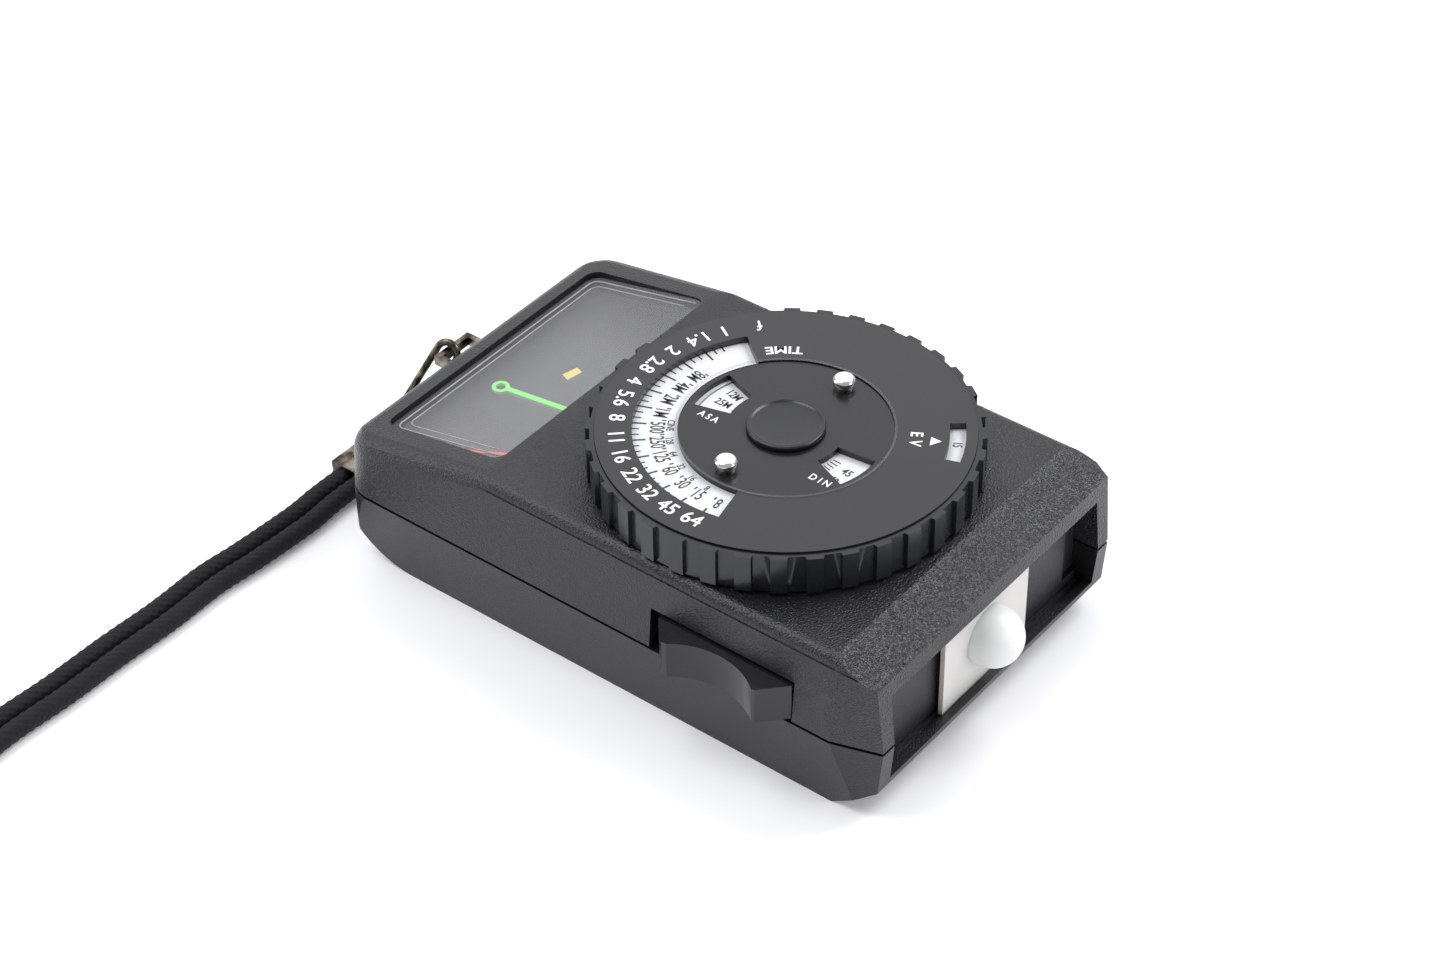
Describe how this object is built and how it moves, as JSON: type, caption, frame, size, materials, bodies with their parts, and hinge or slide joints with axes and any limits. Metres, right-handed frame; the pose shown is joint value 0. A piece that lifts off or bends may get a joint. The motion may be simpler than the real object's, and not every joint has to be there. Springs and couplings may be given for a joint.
{
  "type": "handheld light meter",
  "caption": "Handheld exposure meter with a needle window, a turning calculator dial, a sliding light diffuser, a thumb switch and a braided wrist strap.",
  "frame": {"origin": "on the back face, on the axis of the calculator dial", "axes": "+Z out of the reading face, +Y towards the light sensor end, +X towards the thumb switch"},
  "size_m": [0.1889, 0.1247, 0.0365],
  "materials": {
    "cover_black": "fine grained satin",
    "cover_back": "smooth satin",
    "steel_screw": "satin",
    "clear_window": "clear moulded",
    "scale_grey": "matt grey print",
    "baffle_black": "matt",
    "cell_can": "satin",
    "filter_glass": "polished",
    "diffuser_white": "white satin",
    "dome_white": "translucent satin",
    "switch_black": "satin",
    "carrier_grey": "matt",
    "brass_leaf": "bright",
    "ring_black": "satin",
    "disc_black": "satin with white print",
    "scale_white": "white with black print",
    "speed_black": "satin",
    "pin_chrome": "polished",
    "speed_white": "white with black print",
    "cap_black": "satin",
    "post_steel": "turned",
    "gear_brass": "machined",
    "pointer_green": "gloss green",
    "needle_red": "gloss red",
    "coil_copper": "enamelled wire",
    "magnet_grey": "sintered",
    "yoke_iron": "plated",
    "plate_aluminium": "pressed",
    "board_green": "solder mask",
    "chip_black": "matt",
    "battery_wrap": "printed sleeve",
    "door_black": "satin",
    "contact_nickel": "nickel plated",
    "bracket_steel": "plated, lightly worn",
    "braid_black": "braided nylon"
  },
  "bodies": {
    "body": {"front_cover": "cover_black", "rear_cover": "cover_back", "shell_screws": "steel_screw", "window": "clear_window", "scale_plate": "scale_grey", "sensor_block": "baffle_black", "photocell": "cell_can", "cell_filter": "filter_glass", "switch_contact": "brass_leaf", "speed_scale": "speed_white", "centre_cap": "cap_black", "dial_post": "post_steel", "idler_axle": "post_steel", "pointer_screw": "steel_screw", "meter_magnet": "magnet_grey", "meter_yoke": "yoke_iron", "mechanism_plate": "plate_aluminium", "plate_screws": "steel_screw", "circuit_board": "board_green", "amplifier_chips": "chip_black", "battery": "battery_wrap", "contact_plus": "contact_nickel", "contact_minus": "contact_nickel", "strap_lug": "bracket_steel", "strap_link": "bracket_steel", "strap_clasp": "bracket_steel", "strap_cord": "braid_black"},
    "dial": {"grip_ring": "ring_black", "exposure_disc": "disc_black", "dial_gear": "gear_brass"},
    "film_speed_disc": {"speed_disc": "speed_black", "time_scale": "scale_white", "speed_pins": "pin_chrome"},
    "reduction_gear": {"idler_gear": "gear_brass", "idler_pinion": "gear_brass"},
    "pointer": {"pointer_sector": "gear_brass", "follow_pointer": "pointer_green"},
    "needle": {"meter_needle": "needle_red", "needle_staff": "post_steel", "meter_coil": "coil_copper", "hairspring": "brass_leaf"},
    "switch": {"thumb_switch": "switch_black", "switch_shoe": "carrier_grey"},
    "diffuser": {"diffuser_plate": "diffuser_white", "diffuser_dome": "dome_white"},
    "door": {"battery_door": "door_black"}
  },
  "joints": [
    {"name": "dial_turn", "type": "hinge", "parent": "body", "child": "dial", "pos_m": [0, 0, 0.0277], "axis": [0, 0, 1], "range_deg": [-202, 98]},
    {"name": "film_speed_turn", "type": "hinge", "parent": "body", "child": "film_speed_disc", "pos_m": [0, 0, 0.034], "axis": [0, 0, 1], "range_deg": [-150, 150]},
    {"name": "reduction_turn", "type": "hinge", "parent": "body", "child": "reduction_gear", "pos_m": [-0.01441, -0.0116, 0.024], "axis": [0, 0, 1], "range_deg": [-54, 110]},
    {"name": "pointer_swing", "type": "hinge", "parent": "body", "child": "pointer", "pos_m": [0, -0.01, 0.022], "axis": [0, 0, 1], "range_deg": [-35, 17]},
    {"name": "needle_swing", "type": "hinge", "parent": "body", "child": "needle", "pos_m": [0, -0.01, 0.02], "axis": [0, 0, 1], "range_deg": [-58, 0], "stiffness_Nm_per_rad": 0.000002},
    {"name": "switch_slide", "type": "slide", "parent": "body", "child": "switch", "axis": [0, 1, 0], "range_m": [-0.0015, 0], "stiffness_N_per_m": 300, "springref_m": 0.0005},
    {"name": "diffuser_slide", "type": "slide", "parent": "body", "child": "diffuser", "axis": [1, 0, 0], "range_m": [-0.015, 0.014]},
    {"name": "battery_door_slide", "type": "slide", "parent": "body", "child": "door", "axis": [0, -1, 0], "range_m": [0, 0.013]}
  ],
  "couplings": [
    {"joint": "reduction_turn", "follows": "dial_turn", "ratio": -0.54167},
    {"joint": "pointer_swing", "follows": "dial_turn", "ratio": 0.17235}
  ]
}
